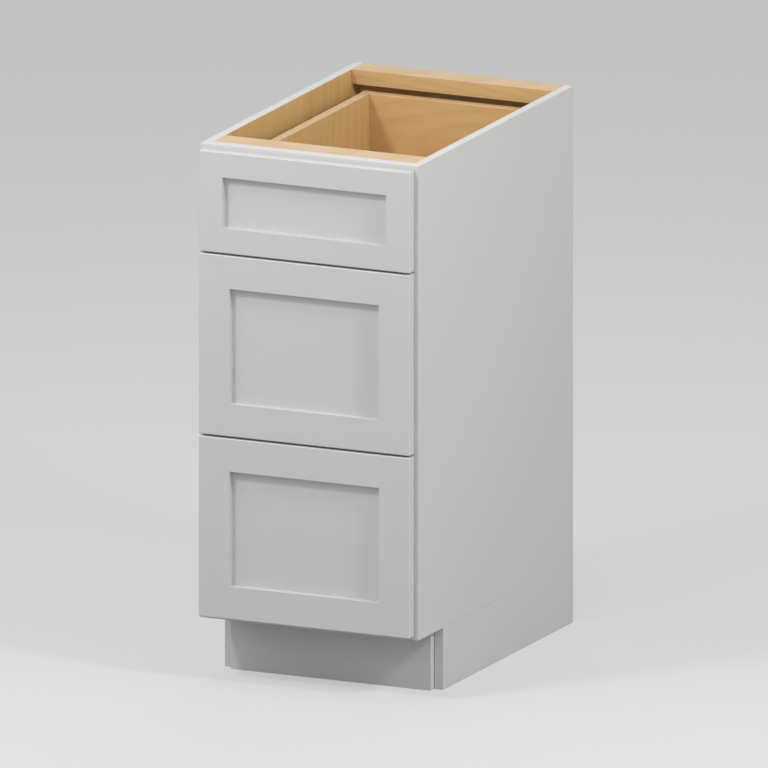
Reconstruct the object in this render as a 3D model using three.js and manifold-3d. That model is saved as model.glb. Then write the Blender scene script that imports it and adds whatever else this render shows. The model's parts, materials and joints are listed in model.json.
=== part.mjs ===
// A framed kitchen base cabinet with three drawers: a plywood carcass on a recessed plinth,
// a painted face frame, three painted frame-and-panel drawer fronts, dovetailed drawer boxes
// and full-extension undermount runners. Millimetres, +Z up, the front faces -Y, and the
// origin lies on the floor under the middle of the cabinet.

import * as THREE from "three";
import { mergeVertices } from "three/addons/utils/BufferGeometryUtils.js";
import Module from "manifold-3d";

// ---------------------------------------------------------------- driving dimensions

// The whole cabinet, drawer fronts included.
const cabinetWidth = 381;
const cabinetDepth = 609.6;
const cabinetHeight = 876.3;

// Clearances.
const jointGap = 0.2; // glued and screwed joints
const runningGap = 0.4; // runner members that slide in one another
const closedGap = 0.3; // closed drawer front to face frame

// Carcass.
const sideThickness = 15;
const deckThickness = 15;
const deckDado = 6; // depth of the deck's groove in each side panel
const backThickness = 12;
const backRabbet = 7.5; // how far the back panel reaches into each side panel
const stretcherThickness = 24;
const frontStretcherDepth = 44.45;
const rearStretcherDepth = 45;

// Plinth and toe kick.
const plinthHeight = 101.6;
const plinthThickness = 15;
const toeRecess = 101.6; // from the face of the drawer fronts to the toe-kick board
const toeBoardThickness = 19.05;
const toeBoardProud = 12.7; // toe-kick board ahead of the plinth sides
const toeBoardEndGap = 0.8;

// Face frame.
const frameThickness = 19.05;
const frameStile = 38.1;
const topRail = 25.4;
const middleRail = 31.75;
const bottomRail = 38.1;

// Drawer fronts.
const frontThickness = 19.05;
const frontReveal = 6.35; // face frame left bare round the fronts
const frontSpacing = 3.175; // between two fronts
const topFrontHeight = 165.1;
const narrowMember = 41.275; // stiles and rails of the top front
const wideMember = 53.975; // stiles and rails of the lower fronts
const panelRecess = 11.1;
const panelThickness = 4.76;
const frontGroove = 9.525; // depth of the groove that holds the panel
const panelPlay = 0.5; // panel edge to the bottom of its groove
const frontEase = 1.2; // radius on the outer edges

// Drawer boxes.
const boxThickness = 15.875;
const boxRearGap = 44.95; // drawer box to the back panel
const boxSideGap = 5.125; // drawer box to face-frame stile
const boxLift = 14; // drawer box above the rail under it
const topHeadRoom = 3.5; // top drawer box to the rail over it
const lowerHeadRoom = 19.3; // the same for the lower drawers, in the shorter opening
const boxBottomThickness = 6.35;
const boxBottomRecess = 12.7; // underside of the bottom above the lower edge of the sides
const boxGroove = 6.35; // depth of the groove that holds the bottom
const boxEase = 1.6; // radius on the top edges

// Dovetails between the drawer sides and the drawer's front and back boards.
const tailLength = 10.3;
const tailPitch = 22.225;
const tailRootHalf = 5.4;
const tailFlare = 0.25; // widening of each flank per millimetre of length
const tailMargin = 6; // least wood kept at the top and bottom of the row

// Undermount runners. Heights are above the rail that the runner stands on.
const runnerGauge = 1.5;
const runnerInset = 3.2; // front end behind the face of the frame
const runnerWebGap = 0.7; // upright web to the face-frame stile
const runnerWebHeight = 20;
const trackOffset = 14; // middle of the track from the inner face of the drawer side
const beadWidth = 16;
const beadHeight = 4.3;
const beadChamfer = 1;
const beamWeb = 2.4;
const trackSlot = 7.8; // opening between the lips of a track
const beamInset = 20;
const beamShortfall = 33.4; // beam shorter than the other two members
const bracketThickness = 2;
const bracketPlateHeight = 24;
const bracketLap = 25; // bracket's length on the end of the runner
const screwHoleRadius = 2.6;
const screwSlotLength = 9;
const webHoleRow = [9.5, 37, 133, 261]; // screw slots behind the front end of the web
const hookPinRadius = 2.8;
const hookPinLength = 9;
const hookPinRise = 11; // pin above the underside of the drawer bottom
const hookHalfWidth = 6;
const hookHoleDepth = 10.5;
const runnerNotchWidth = 38; // notch in the drawer's back board
const frontTabDrop = 9;

// Facets of an eased edge's quarter circle, and of a whole hole or pin.
const easeSteps = 3;
const roundSteps = 12;

// Finishes.
const paint = { color: 0xd8d8d5, roughness: 0.45, metalness: 0 };
const plywood = { color: 0xd3ac7d, roughness: 0.6, metalness: 0 };
const hardwood = { color: 0xd9b488, roughness: 0.55, metalness: 0 };
const zincSteel = { color: 0xb4b7ba, roughness: 0.35, metalness: 1 };

// ---------------------------------------------------------------- places worked out from them

const frontFace = -cabinetDepth / 2;
const frontBack = frontFace + frontThickness;
const frameFace = frontBack + closedGap;
const frameBack = frameFace + frameThickness;
const carcassFront = frameBack + jointGap;
const carcassBack = cabinetDepth / 2;
const backFace = carcassBack - backThickness;

const innerWidth = cabinetWidth - 2 * sideThickness;
const openingWidth = cabinetWidth - 2 * frameStile;
const frontWidth = cabinetWidth - 2 * frontReveal;

const boxFace = frontBack + jointGap;
const boxDepth = backFace - boxRearGap - boxFace;
const boxWidth = openingWidth - 2 * boxSideGap;

const frontsBottom = plinthHeight + frontReveal;
const frontsTop = cabinetHeight - frontReveal;
const lowerFrontHeight = (frontsTop - frontsBottom - topFrontHeight) / 2 - frontSpacing;

// The two gaps between the fronts, and the rails centred behind them.
const lowerGapMiddle = frontsBottom + lowerFrontHeight + frontSpacing / 2;
const upperGapMiddle = lowerGapMiddle + lowerFrontHeight + frontSpacing;

const drawers = [
  {
    name: "top",
    frontBottom: upperGapMiddle + frontSpacing / 2,
    frontHeight: topFrontHeight,
    member: narrowMember,
    openingBottom: upperGapMiddle + middleRail / 2,
    openingTop: cabinetHeight - topRail,
  },
  {
    name: "middle",
    frontBottom: lowerGapMiddle + frontSpacing / 2,
    frontHeight: lowerFrontHeight,
    member: wideMember,
    openingBottom: lowerGapMiddle + middleRail / 2,
    openingTop: upperGapMiddle - middleRail / 2,
  },
  {
    name: "bottom",
    frontBottom: frontsBottom,
    frontHeight: lowerFrontHeight,
    member: wideMember,
    openingBottom: plinthHeight + bottomRail,
    openingTop: lowerGapMiddle - middleRail / 2,
  },
];

// The lower drawers share one height of box, which suits the shorter of their openings.
const [topDrawer, ...lowerDrawers] = drawers;
const openingHeight = (drawer) => drawer.openingTop - drawer.openingBottom;
const lowerBoxHeight = Math.min(...lowerDrawers.map(openingHeight)) - boxLift - lowerHeadRoom;
topDrawer.boxHeight = openingHeight(topDrawer) - boxLift - topHeadRoom;
for (const drawer of lowerDrawers) drawer.boxHeight = lowerBoxHeight;

// ---------------------------------------------------------------- shapes and solids

const wasm = await Module();
wasm.setup();

const rightwards = new THREE.Vector3(1, 0, 0);
const backwards = new THREE.Vector3(0, 1, 0);
const forwards = new THREE.Vector3(0, -1, 0);
const upwards = new THREE.Vector3(0, 0, 1);

function outline(points) {
  return new THREE.Shape(points.map(([across, up]) => new THREE.Vector2(across, up)));
}

function rectangle(width, height) {
  return outline([[0, 0], [width, 0], [width, height], [0, height]]);
}

// A board's section, standing on its lower edge, with its two upper edges rounded.
function easedSection(thickness, height, radius) {
  const shape = new THREE.Shape();
  shape.moveTo(0, 0);
  shape.lineTo(thickness, 0);
  shape.absarc(thickness - radius, height - radius, radius, 0, Math.PI / 2);
  shape.absarc(radius, height - radius, radius, Math.PI / 2, Math.PI);
  return shape;
}

function drawOut(section, length) {
  return new THREE.ExtrudeGeometry(section, {
    depth: length,
    bevelEnabled: false,
    curveSegments: easeSteps,
  });
}

// A section in Y and Z drawn out along X.
function alongX(section, length) {
  const turn = new THREE.Matrix4().makeBasis(backwards, upwards, rightwards);
  return drawOut(section, length).applyMatrix4(turn);
}

// A section in X and Z drawn out along Y.
function alongY(section, length) {
  const turn = new THREE.Matrix4().makeBasis(rightwards, upwards, forwards);
  return drawOut(section, length).applyMatrix4(turn).translate(0, length, 0);
}

// A section in X and Y drawn out along Z.
function alongZ(section, length) {
  return drawOut(section, length);
}

// A square-edged board with its lowest left front corner at the origin.
function board(width, depth, height) {
  return new THREE.BoxGeometry(width, depth, height).translate(width / 2, depth / 2, height / 2);
}

// A round bar along Y that starts at the origin.
function barAlongY(radius, length) {
  return new THREE.CylinderGeometry(radius, radius, length, roundSteps).translate(0, length / 2, 0);
}

function solidOf(geometry) {
  const bare = new THREE.BufferGeometry();
  bare.setAttribute("position", geometry.getAttribute("position"));
  bare.setIndex(geometry.getIndex());
  const closed = mergeVertices(bare, 1e-4);
  return new wasm.Manifold(
    new wasm.Mesh({
      numProp: 3,
      vertProperties: new Float32Array(closed.getAttribute("position").array),
      triVerts: new Uint32Array(closed.getIndex().array),
    }),
  );
}

function geometryOf(solid) {
  const mesh = solid.getMesh();
  const geometry = new THREE.BufferGeometry();
  geometry.setAttribute("position", new THREE.BufferAttribute(mesh.vertProperties, 3));
  geometry.setIndex(new THREE.BufferAttribute(mesh.triVerts, 1));
  geometry.computeVertexNormals();
  return geometry;
}

function cut(body, ...tools) {
  return geometryOf(tools.reduce((rest, tool) => rest.subtract(solidOf(tool)), solidOf(body)));
}

function join(body, ...others) {
  return geometryOf(others.reduce((whole, other) => whole.add(solidOf(other)), solidOf(body)));
}

function common(body, other) {
  return geometryOf(solidOf(body).intersect(solidOf(other)));
}

// ---------------------------------------------------------------- placing the pieces

function place(group, name, geometry, finish, x, y, z) {
  const mesh = new THREE.Mesh(geometry, new THREE.MeshStandardMaterial(finish));
  mesh.name = name;
  mesh.position.set(x, y, z);
  group.add(mesh);
  return mesh;
}

// A piece on the left of the cabinet and its mirror image on the right.
function placePair(group, name, geometry, finish, x, y, z) {
  place(group, `${name}_left`, geometry, finish, x, y, z);
  place(group, `${name}_right`, geometry, finish, -x, y, z).scale.x = -1;
}

// ---------------------------------------------------------------- carcass

const deckTop = plinthHeight + bottomRail;
const deckUnderside = deckTop - deckThickness;
const backTop = cabinetHeight - stretcherThickness - jointGap;

// Side panel: square edges, a through dado for the deck and a rabbet for the back panel.
function sidePanel() {
  const height = cabinetHeight - plinthHeight;
  const depth = carcassBack - carcassFront;
  const dadoBottom = deckUnderside - plinthHeight - jointGap;
  const dadoTop = deckTop - plinthHeight + jointGap;
  const dadoFloor = sideThickness - deckDado;
  const section = outline([
    [0, 0],
    [sideThickness, 0],
    [sideThickness, dadoBottom],
    [dadoFloor, dadoBottom],
    [dadoFloor, dadoTop],
    [sideThickness, dadoTop],
    [sideThickness, height],
    [0, height],
  ]);
  const rabbetHeight = backTop + jointGap - plinthHeight;
  const rabbet = board(backRabbet, backThickness + jointGap, rabbetHeight).translate(
    sideThickness - backRabbet,
    depth - backThickness - jointGap,
    0,
  );
  return cut(alongY(section, depth), rabbet);
}

function addCarcass(cabinet) {
  const halfWidth = cabinetWidth / 2;
  const fitted = innerWidth - 2 * jointGap;
  placePair(cabinet, "side_panel", sidePanel(), paint, -halfWidth, carcassFront, plinthHeight);

  const deckWidth = innerWidth + 2 * (deckDado - jointGap);
  const deckDepth = backFace - jointGap - carcassFront;
  const deck = board(deckWidth, deckDepth, deckThickness);
  place(cabinet, "bottom_panel", deck, plywood, -deckWidth / 2, carcassFront, deckUnderside);

  const backWidth = innerWidth + 2 * (backRabbet - jointGap);
  const back = board(backWidth, backThickness, backTop - plinthHeight);
  place(cabinet, "back_panel", back, plywood, -backWidth / 2, backFace, plinthHeight);

  const stretcherZ = cabinetHeight - stretcherThickness;
  const front = board(fitted, frontStretcherDepth, stretcherThickness);
  const rear = board(fitted, rearStretcherDepth, stretcherThickness);
  const rearY = carcassBack - rearStretcherDepth;
  place(cabinet, "front_stretcher", front, hardwood, -fitted / 2, carcassFront, stretcherZ);
  place(cabinet, "rear_stretcher", rear, hardwood, -fitted / 2, rearY, stretcherZ);
}

// ---------------------------------------------------------------- plinth and toe kick

function addPlinth(cabinet) {
  const height = plinthHeight - jointGap;
  const toeFace = frontFace + toeRecess;
  const plinthFront = toeFace + toeBoardProud;
  const side = board(plinthThickness, carcassBack - plinthFront, height);
  placePair(cabinet, "plinth_side", side, paint, -cabinetWidth / 2, plinthFront, 0);

  const between = cabinetWidth - 2 * plinthThickness;
  const toeWidth = between - 2 * toeBoardEndGap;
  const toeBoard = board(toeWidth, toeBoardThickness, height);
  place(cabinet, "toe_kick_board", toeBoard, paint, -toeWidth / 2, toeFace, 0);

  const railWidth = between - 2 * jointGap;
  const rail = board(railWidth, plinthThickness, height);
  const frontRailY = toeFace + toeBoardThickness + jointGap;
  const rearRailY = carcassBack - plinthThickness;
  place(cabinet, "plinth_front_rail", rail, plywood, -railWidth / 2, frontRailY, 0);
  place(cabinet, "plinth_rear_rail", rail.clone(), plywood, -railWidth / 2, rearRailY, 0);
}

// ---------------------------------------------------------------- face frame

// The stiles and rails are glued up and painted as one piece, open behind each drawer.
function addFaceFrame(cabinet) {
  const face = rectangle(cabinetWidth, cabinetHeight - plinthHeight);
  for (const drawer of drawers) {
    const low = drawer.openingBottom - plinthHeight;
    const high = drawer.openingTop - plinthHeight;
    const left = frameStile;
    const right = frameStile + openingWidth;
    const opening = [[left, low], [left, high], [right, high], [right, low]];
    face.holes.push(new THREE.Path(opening.map(([x, z]) => new THREE.Vector2(x, z))));
  }
  const frame = alongY(face, frameThickness);
  place(cabinet, "face_frame", frame, paint, -cabinetWidth / 2, frameFace, plinthHeight);
}

// ---------------------------------------------------------------- drawer fronts

const grooveFront = panelRecess - jointGap;
const grooveBack = panelRecess + panelThickness + jointGap;

// Section of a front's stile or rail: outer edge at X 0 with eased arrises, face at Y 0, and
// the panel's groove in the inner edge.
function frontMemberSection(width) {
  const back = frontThickness;
  const shape = new THREE.Shape();
  shape.moveTo(frontEase, 0);
  shape.lineTo(width, 0);
  shape.lineTo(width, grooveFront);
  shape.lineTo(width - frontGroove, grooveFront);
  shape.lineTo(width - frontGroove, grooveBack);
  shape.lineTo(width, grooveBack);
  shape.lineTo(width, back);
  shape.absarc(frontEase, back - frontEase, frontEase, Math.PI / 2, Math.PI);
  shape.absarc(frontEase, frontEase, frontEase, Math.PI, Math.PI * 1.5);
  return shape;
}

// A rail lies along Z here, and its stub tenons run on into the grooves of the stiles.
function frontRail(width, length) {
  const tenon = frontGroove - jointGap;
  const tongue = board(width - frontGroove, panelThickness, length + 2 * (tenon + jointGap));
  const stock = alongZ(frontMemberSection(width), length);
  return join(stock, tongue.translate(0, panelRecess, -tenon - jointGap));
}

function addDrawerFront(group, drawer) {
  const name = `${drawer.name}_drawer_front`;
  const halfWidth = frontWidth / 2;
  const bottom = drawer.frontBottom - drawer.openingBottom;
  const top = bottom + drawer.frontHeight;

  const stile = alongZ(frontMemberSection(drawer.member), drawer.frontHeight);
  placePair(group, `${name}_stile`, stile, paint, -halfWidth, frontFace, bottom);

  // Each rail is turned about Y, so that its outer edge lies at the top or the bottom.
  const railLength = frontWidth - 2 * (drawer.member + jointGap);
  const rail = frontRail(drawer.member, railLength);
  const upper = place(group, `${name}_top_rail`, rail, paint, -railLength / 2, frontFace, top);
  const lower = place(
    group, `${name}_bottom_rail`, rail.clone(), paint, railLength / 2, frontFace, bottom,
  );
  upper.rotation.y = Math.PI / 2;
  lower.rotation.y = -Math.PI / 2;

  const hidden = frontGroove - panelPlay;
  const panelWidth = frontWidth - 2 * (drawer.member - hidden);
  const panelHeight = drawer.frontHeight - 2 * (drawer.member - hidden);
  const panel = board(panelWidth, panelThickness, panelHeight);
  const panelZ = bottom + drawer.member - hidden;
  place(group, `${name}_panel`, panel, paint, -panelWidth / 2, frontFace + panelRecess, panelZ);
}

// ---------------------------------------------------------------- dovetailed drawer boxes

// Middles of the tails, evenly spaced up the height of the box.
function tailMiddles(height) {
  const count = Math.floor((height - 2 * tailMargin) / tailPitch);
  const first = (height - (count - 1) * tailPitch) / 2;
  return Array.from({ length: count }, (_, index) => first + index * tailPitch);
}

// Outline of a drawer side in Y and Z, with its tails at both ends. Y 0 is the face of the box.
function tailedOutline(height) {
  const tipHalf = tailRootHalf + tailFlare * tailLength;
  const shoulder = boxThickness + jointGap;
  const tip = boxThickness - tailLength + jointGap;
  const frontEnd = [[shoulder, 0]];
  for (const middle of tailMiddles(height)) {
    frontEnd.push([shoulder, middle - tailRootHalf]);
    frontEnd.push([tip, middle - tipHalf]);
    frontEnd.push([tip, middle + tipHalf]);
    frontEnd.push([shoulder, middle + tailRootHalf]);
  }
  frontEnd.push([shoulder, height]);
  const backEnd = frontEnd.map(([y, z]) => [boxDepth - y, z]).reverse();
  return outline([...frontEnd, ...backEnd]);
}

// The sockets for those tails, half-blind, at both ends of a front or back board. The measure
// along Y runs from the outer face of the board, and inward turns it into a place in the box.
function sockets(height, inward) {
  const past = 1; // beyond the inner face and the end of the board, for a clean cut
  const root = tailRootHalf + jointGap - tailFlare * past;
  const tip = tailRootHalf + jointGap + tailFlare * tailLength;
  const floor = inward(boxThickness - tailLength);
  const mouth = inward(boxThickness + past);
  const width = boxThickness + jointGap + past;
  return tailMiddles(height).flatMap((middle) => {
    const section = outline([
      [floor, middle - tip],
      [mouth, middle - root],
      [mouth, middle + root],
      [floor, middle + tip],
    ]);
    const left = alongX(section, width).translate(-past, 0, 0);
    const right = alongX(section, width).translate(boxWidth + past - width, 0, 0);
    return [left, right];
  });
}

// The bottom of a box or, with some play, the slot that it leaves in the four boards.
function boxBottom(play) {
  const edge = boxThickness - boxGroove + jointGap - play;
  const width = boxWidth - 2 * edge;
  const depth = boxDepth - 2 * edge;
  const thickness = boxBottomThickness + 2 * play;
  return board(width, depth, thickness).translate(edge, edge, boxBottomRecess - play);
}

// The pieces of a box are drawn from its lower left front corner.
function boxSide(height) {
  const stock = alongY(easedSection(boxThickness, height, boxEase), boxDepth);
  const tailed = common(stock, alongX(tailedOutline(height), boxThickness));
  return cut(tailed, boxBottom(jointGap));
}

function boxFront(height) {
  const stock = alongX(easedSection(boxThickness, height, boxEase), boxWidth);
  const inward = (depth) => depth;
  return cut(stock, ...sockets(height, inward), boxBottom(jointGap));
}

// The back board is notched under the bottom for the two runners, and bored for their hooks.
function boxBack(height) {
  const boardFront = boxDepth - boxThickness;
  const stock = alongX(easedSection(boxThickness, height, boxEase), boxWidth);
  const inward = (depth) => boxDepth - depth;
  const past = 1;
  const notchBlank = board(runnerNotchWidth, boxThickness + 2 * past, boxBottomRecess + past);
  const holeBlank = barAlongY(hookPinRadius + jointGap, hookHoleDepth + past);
  const notches = [boxThickness, boxWidth - boxThickness - runnerNotchWidth].map((x) =>
    notchBlank.clone().translate(x, boardFront - past, -past),
  );
  const pinInset = boxThickness + trackOffset;
  const holes = [pinInset, boxWidth - pinInset].map((x) =>
    holeBlank.clone().translate(x, boxDepth - hookHoleDepth, boxBottomRecess + hookPinRise),
  );
  const joints = sockets(height, inward);
  stock.translate(0, boardFront, 0);
  return cut(stock, ...joints, ...notches, ...holes, boxBottom(jointGap));
}

function addDrawerBox(group, drawer) {
  const name = `${drawer.name}_drawer_box`;
  const height = drawer.boxHeight;
  const box = new THREE.Group();
  box.position.set(0, boxFace, boxLift);
  group.add(box);
  const left = -boxWidth / 2;
  placePair(box, `${name}_side`, boxSide(height), hardwood, left, 0, 0);
  place(box, `${name}_front`, boxFront(height), hardwood, left, 0, 0);
  place(box, `${name}_back`, boxBack(height), hardwood, left, 0, 0);
  place(box, `${name}_bottom`, boxBottom(0), plywood, left, 0, 0);
}

// ---------------------------------------------------------------- undermount runners

// Everything here belongs to the left runner: X runs inwards from the edge of the stile, Y
// from the face of the frame, and Z from the rail under the drawer.
const boxInner = boxSideGap + boxThickness;
const trackMiddle = boxInner + trackOffset;
const trackInnerHalf = beadWidth / 2 + runningGap;
const trackHalf = trackInnerHalf + runnerGauge;
const trackHollow = beadHeight + 2 * runningGap;
const lowerFloor = jointGap + runnerGauge;
const plateTop = boxLift + boxBottomRecess - jointGap;
const upperFloor = plateTop - runnerGauge;
const runnerLength = boxDepth;
const runnerEnd = runnerInset + runnerLength;
const beamLength = runnerLength - beamShortfall;
const boxFrontY = boxFace - frameFace;
const boxBackY = boxFrontY + boxDepth;

// Half of a lipped channel, from the outer corner of its floor to the inner one, with X from
// the middle of the track. It opens upwards where open is 1, and downwards where it is -1.
function channelHalf(floor, open) {
  const lipUnder = floor + open * trackHollow;
  const lipTop = lipUnder + open * runnerGauge;
  return [
    [trackHalf, floor],
    [trackHalf, lipTop],
    [trackSlot / 2, lipTop],
    [trackSlot / 2, lipUnder],
    [trackInnerHalf, lipUnder],
    [trackInnerHalf, floor],
  ];
}

// A rolled profile: a lipped channel whose floor runs on outwards as a flat plate.
function channelSection(floor, open, plateEdge, extra) {
  const right = channelHalf(floor, open);
  const left = right.map(([x, z]) => [-x, z]).reverse();
  const placed = [...right, ...left].map(([x, z]) => [trackMiddle + x, z]);
  const outside = floor - open * runnerGauge;
  return outline([
    [plateEdge, outside], [trackMiddle + trackHalf, outside], ...placed.slice(1), ...extra,
  ]);
}

// A slotted screw hole through an upright web, its length along Y.
function webSlot(y, z) {
  const reach = (screwSlotLength - 2 * screwHoleRadius) / 2;
  const shape = new THREE.Shape();
  shape.absarc(y + reach, z, screwHoleRadius, -Math.PI / 2, Math.PI / 2);
  shape.absarc(y - reach, z, screwHoleRadius, Math.PI / 2, Math.PI * 1.5);
  return alongX(shape, runnerWebGap + 2 * bracketThickness);
}

// The fixed member: its track stands on the rail, its web lies along the stile, and a bracket
// carries its rear end on the back panel.
function cabinetMember() {
  const webInner = runnerWebGap + runnerGauge;
  const web = [
    [webInner, lowerFloor],
    [webInner, runnerWebHeight],
    [runnerWebGap, runnerWebHeight],
  ];
  const profile = alongY(channelSection(lowerFloor, 1, runnerWebGap, web), runnerLength);

  const plateBack = backFace - frameFace - jointGap;
  const armStart = runnerEnd - bracketLap;
  const armTop = jointGap + bracketThickness;
  const armEdge = trackMiddle - trackHalf;
  const armSection = outline([
    [runnerWebGap, jointGap],
    [armEdge, jointGap],
    [armEdge, armTop],
    [runnerWebGap + bracketThickness, armTop],
    [runnerWebGap + bracketThickness, runnerWebHeight],
    [runnerWebGap, runnerWebHeight],
  ]);
  const arm = alongY(armSection, plateBack - armStart).translate(0, armStart, 0);
  const plateWidth = trackMiddle + trackHalf - runnerWebGap;
  const plate = board(plateWidth, bracketThickness, bracketPlateHeight - jointGap)
    .translate(runnerWebGap, plateBack - bracketThickness, jointGap);

  const slotZ = (lowerFloor + runnerWebHeight) / 2;
  const webHoles = webHoleRow.map((y) => webSlot(y, slotZ));
  const plateHoles = [1, 3].map((quarter) => {
    const x = runnerWebGap + (plateWidth * quarter) / 4;
    const hole = barAlongY(screwHoleRadius, 3 * bracketThickness);
    return hole.translate(x, plateBack - 2 * bracketThickness, slotZ);
  });
  return cut(join(profile.translate(0, runnerInset, 0), arm, plate), ...webHoles, ...plateHoles);
}

// The middle member: a beam whose two beaded edges run in the tracks of the other members.
function beam() {
  const bottom = lowerFloor + runningGap;
  const top = upperFloor - runningGap;
  const half = beadWidth / 2;
  const right = [
    [half - beadChamfer, bottom],
    [half, bottom + beadChamfer],
    [half, bottom + beadHeight - beadChamfer],
    [half - beadChamfer, bottom + beadHeight],
    [beamWeb / 2, bottom + beadHeight],
    [beamWeb / 2, top - beadHeight],
    [half - beadChamfer, top - beadHeight],
    [half, top - beadHeight + beadChamfer],
    [half, top - beadChamfer],
    [half - beadChamfer, top],
  ];
  const left = right.map(([x, z]) => [-x, z]).reverse();
  return alongY(outline([...right, ...left]), beamLength);
}

// The member under the drawer: its plate bears the bottom, a tab in front stands against the
// box's front board, and a pin on the turned-up rear end enters its back board.
function drawerMember() {
  const start = boxFrontY + boxThickness + jointGap;
  const end = boxBackY + jointGap + runnerGauge;
  const plateEdge = boxInner + jointGap;
  const section = channelSection(upperFloor, -1, plateEdge, [[plateEdge, upperFloor]]);
  const profile = alongY(section, end - start).translate(0, start, 0);

  const tabWidth = trackMiddle - trackHalf - plateEdge;
  const tab = board(tabWidth, runnerGauge, frontTabDrop)
    .translate(plateEdge, start, plateTop - frontTabDrop);

  const pinZ = boxLift + boxBottomRecess + hookPinRise;
  const hookTop = pinZ + hookPinRadius + runnerGauge;
  const hook = board(2 * hookHalfWidth, runnerGauge, hookTop - upperFloor)
    .translate(trackMiddle - hookHalfWidth, end - runnerGauge, upperFloor);
  const pin = barAlongY(hookPinRadius, hookPinLength + runnerGauge / 2)
    .translate(trackMiddle, end - runnerGauge - hookPinLength, pinZ);
  return join(profile, tab, hook, pin);
}

// ---------------------------------------------------------------- the whole cabinet

const cabinet = new THREE.Group();
addCarcass(cabinet);
addPlinth(cabinet);
addFaceFrame(cabinet);

for (const drawer of drawers) {
  const bay = new THREE.Group();
  bay.position.z = drawer.openingBottom;
  cabinet.add(bay);

  const sliding = new THREE.Group();
  bay.add(sliding);
  addDrawerFront(sliding, drawer);
  addDrawerBox(sliding, drawer);

  const name = `${drawer.name}_runner`;
  const stile = -openingWidth / 2;
  placePair(bay, `${name}_cabinet_member`, cabinetMember(), zincSteel, stile, frameFace, 0);
  placePair(bay, `${name}_beam`, beam(), zincSteel, stile + trackMiddle, frameFace + beamInset, 0);
  placePair(sliding, `${name}_drawer_member`, drawerMember(), zincSteel, stile, frameFace, 0);
}

export default cabinet;
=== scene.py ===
"""Finishes, fasteners and studio for a three-drawer base cabinet, laid out as an add-on.

Everything is in metres. The front of the cabinet faces -Y and it stands on Z 0.
"""

import json
import math

import bmesh
import bpy
from bpy.props import FloatProperty, FloatVectorProperty, IntProperty, PointerProperty
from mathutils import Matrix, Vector


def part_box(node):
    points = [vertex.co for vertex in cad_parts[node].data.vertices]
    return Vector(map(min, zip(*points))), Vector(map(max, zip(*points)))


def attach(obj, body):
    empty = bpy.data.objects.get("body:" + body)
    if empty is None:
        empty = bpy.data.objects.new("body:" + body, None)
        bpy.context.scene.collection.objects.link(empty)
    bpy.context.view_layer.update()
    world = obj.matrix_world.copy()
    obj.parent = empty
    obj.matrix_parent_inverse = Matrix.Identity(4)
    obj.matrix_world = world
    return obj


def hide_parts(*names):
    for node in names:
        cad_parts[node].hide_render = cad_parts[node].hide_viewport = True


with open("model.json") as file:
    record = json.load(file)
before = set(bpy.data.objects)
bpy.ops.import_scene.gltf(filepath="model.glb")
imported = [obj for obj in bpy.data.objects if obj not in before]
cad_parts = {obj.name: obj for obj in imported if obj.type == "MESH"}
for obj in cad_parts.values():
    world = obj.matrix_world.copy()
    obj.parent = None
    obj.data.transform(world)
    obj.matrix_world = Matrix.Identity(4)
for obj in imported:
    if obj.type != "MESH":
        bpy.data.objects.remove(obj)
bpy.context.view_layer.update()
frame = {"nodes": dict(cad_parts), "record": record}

bl_info = {
    "name": "Base Cabinet with Drawers",
    "version": (1, 0, 0),
    "blender": (4, 5, 0),
    "location": "3D View > Sidebar > Cabinet",
    "description": "Boards, paint, runners and fasteners of a three-drawer base cabinet",
    "category": "Object",
}

MM = 0.001

BODY_OF = {
    node: body
    for body, nodes in frame["record"]["behaviour"]["bodies"].items()
    for node in nodes
}
DRAWERS = ("top", "middle", "bottom")
HANDS = ("left", "right")


def from_screen(red, green, blue):
    """Screen colour, 0 to 255, as the linear colour that a shader takes."""
    def linear(part):
        part /= 255
        return part / 12.92 if part <= 0.04045 else ((part + 0.055) / 1.055) ** 2.4
    return tuple(linear(part) for part in (red, green, blue))


def length_property(name, description, millimetres):
    return FloatProperty(
        name=name, description=description, default=millimetres * MM,
        min=0, soft_max=1, unit="LENGTH", subtype="DISTANCE", precision=5,
    )


def colour_property(name, description, screen_colour):
    return FloatVectorProperty(
        name=name, description=description, default=from_screen(*screen_colour),
        size=3, min=0, max=1, subtype="COLOR",
    )


def level_property(name, description, default):
    return FloatProperty(name=name, description=description, default=default, min=0)


def power_property(name, description, watts):
    return FloatProperty(name=name, description=description, default=watts, min=0, unit="POWER")


def angle_property(name, description, degrees):
    return FloatProperty(
        name=name, description=description, default=math.radians(degrees), subtype="ANGLE",
    )


# ------------------------------------------------------------------------ settings


class CabinetFinishes(bpy.types.PropertyGroup):
    """Colours of the paint, the wood and the metal"""

    paint: colour_property("Paint", "Satin paint of the fronts, frame and sides", (201, 201, 199))
    # Painted light: the toe-kick board gets a lighter copy of the satin paint, which offsets the
    # shade that falls on it under the cabinet.
    toe_paint_lightened_for_shade: colour_property("Toe paint", "Paint of the toe-kick board", (206, 206, 204))
    birch: colour_property("Birch", "Early wood of the solid birch boards", (204, 171, 122))
    birch_line: colour_property("Birch line", "Growth lines of the solid birch", (189, 152, 101))
    veneer: colour_property("Veneer", "Light part of the birch veneer", (212, 176, 118))
    veneer_line: colour_property("Veneer line", "Figure of the birch veneer", (196, 157, 100))
    end_grain: colour_property("End grain", "Birch where it is cut across", (172, 132, 86))
    ply_core: colour_property("Ply core", "Darker plies in the edge of the plywood", (150, 108, 66))
    dust: colour_property("Dust", "Dust that settles inside the cabinet", (196, 190, 180))
    zinc: colour_property("Zinc", "Zinc-plated steel of the runners", (196, 199, 203))
    screw: colour_property("Screw", "Bright plated screws", (188, 184, 172))
    staple: colour_property("Staple", "Galvanised staples", (170, 172, 174))
    rubber: colour_property("Bumper pads", "Soft clear plastic pads", (214, 214, 208))


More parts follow.
